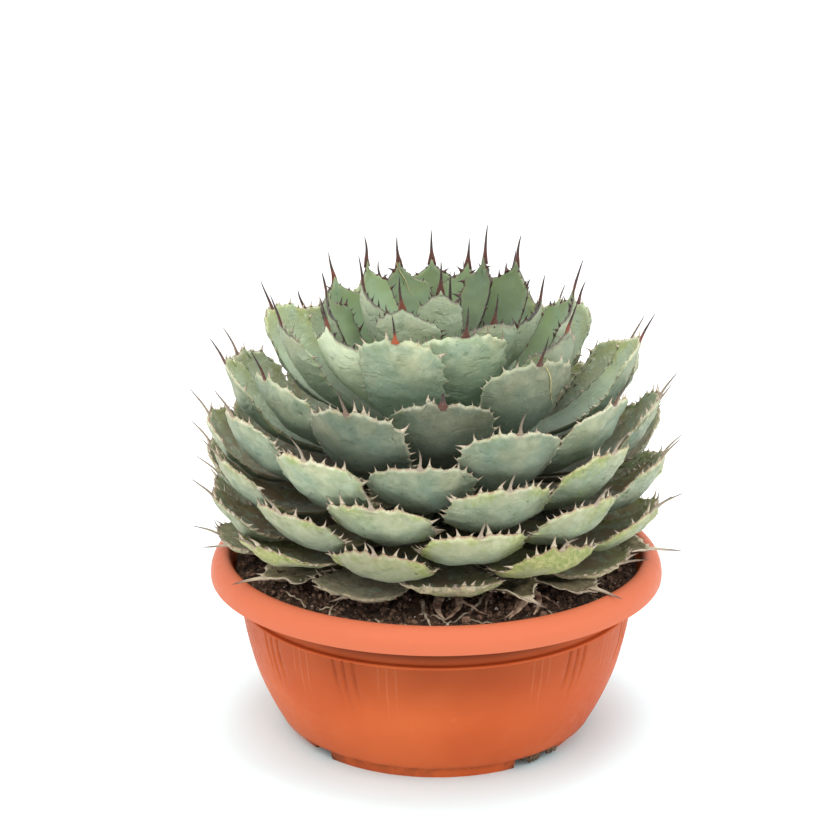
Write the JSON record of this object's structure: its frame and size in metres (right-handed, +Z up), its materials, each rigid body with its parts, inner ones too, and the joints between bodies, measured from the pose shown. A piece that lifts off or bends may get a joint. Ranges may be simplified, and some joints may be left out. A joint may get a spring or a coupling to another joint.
{
  "type": "potted butterfly agave",
  "caption": "Compact low rosette of broad glaucous agave leaves with toothed margins and terminal spines, rooted in dark soil in a shallow orange plastic bowl pot.",
  "frame": {"origin": "on the axis of the pot, at the level of the underside of its foot ring", "axes": "+Z up along the pot's axis, -Y towards the viewer of the picture, +X to the viewer's right"},
  "size_m": [0.3828, 0.35, 0.3873],
  "materials": {
    "pot_plastic": "satin moulded terracotta-orange plastic",
    "potting_soil": "dark coarse potting soil with light grit",
    "green_leaf": "matt waxy glaucous leaf skin, pale sage to blue-green",
    "dried_leaf": "dry fibrous tan-grey leaf"
  },
  "bodies": {
    "root": {"pot": "pot_plastic", "soil": "potting_soil", "heart": "green_leaf", "dried_leaf_1": "dried_leaf", "dried_leaf_2": "dried_leaf", "dried_leaf_3": "dried_leaf", "dried_leaf_4": "dried_leaf", "dried_leaf_5": "dried_leaf", "dried_leaf_6": "dried_leaf", "dried_leaf_7": "dried_leaf", "dried_leaf_8": "dried_leaf", "leaf_01": "green_leaf", "leaf_02": "green_leaf", "leaf_03": "green_leaf", "leaf_04": "green_leaf", "leaf_05": "green_leaf", "leaf_06": "green_leaf", "leaf_07": "green_leaf", "leaf_08": "green_leaf", "leaf_09": "green_leaf", "leaf_10": "green_leaf", "leaf_11": "green_leaf", "leaf_12": "green_leaf", "leaf_13": "green_leaf", "leaf_14": "green_leaf", "leaf_15": "green_leaf", "leaf_16": "green_leaf", "leaf_17": "green_leaf", "leaf_18": "green_leaf", "leaf_19": "green_leaf", "leaf_20": "green_leaf", "leaf_21": "green_leaf", "leaf_22": "green_leaf", "leaf_23": "green_leaf", "leaf_24": "green_leaf", "leaf_25": "green_leaf", "leaf_26": "green_leaf", "leaf_27": "green_leaf", "leaf_28": "green_leaf", "leaf_29": "green_leaf", "leaf_30": "green_leaf", "leaf_31": "green_leaf", "leaf_32": "green_leaf", "leaf_33": "green_leaf", "leaf_34": "green_leaf", "leaf_35": "green_leaf", "leaf_36": "green_leaf", "leaf_37": "green_leaf", "leaf_38": "green_leaf", "leaf_39": "green_leaf", "leaf_40": "green_leaf", "leaf_41": "green_leaf", "leaf_42": "green_leaf", "leaf_43": "green_leaf", "leaf_44": "green_leaf", "leaf_45": "green_leaf", "leaf_46": "green_leaf", "leaf_47": "green_leaf", "leaf_48": "green_leaf", "leaf_49": "green_leaf"}
  },
  "joints": []
}
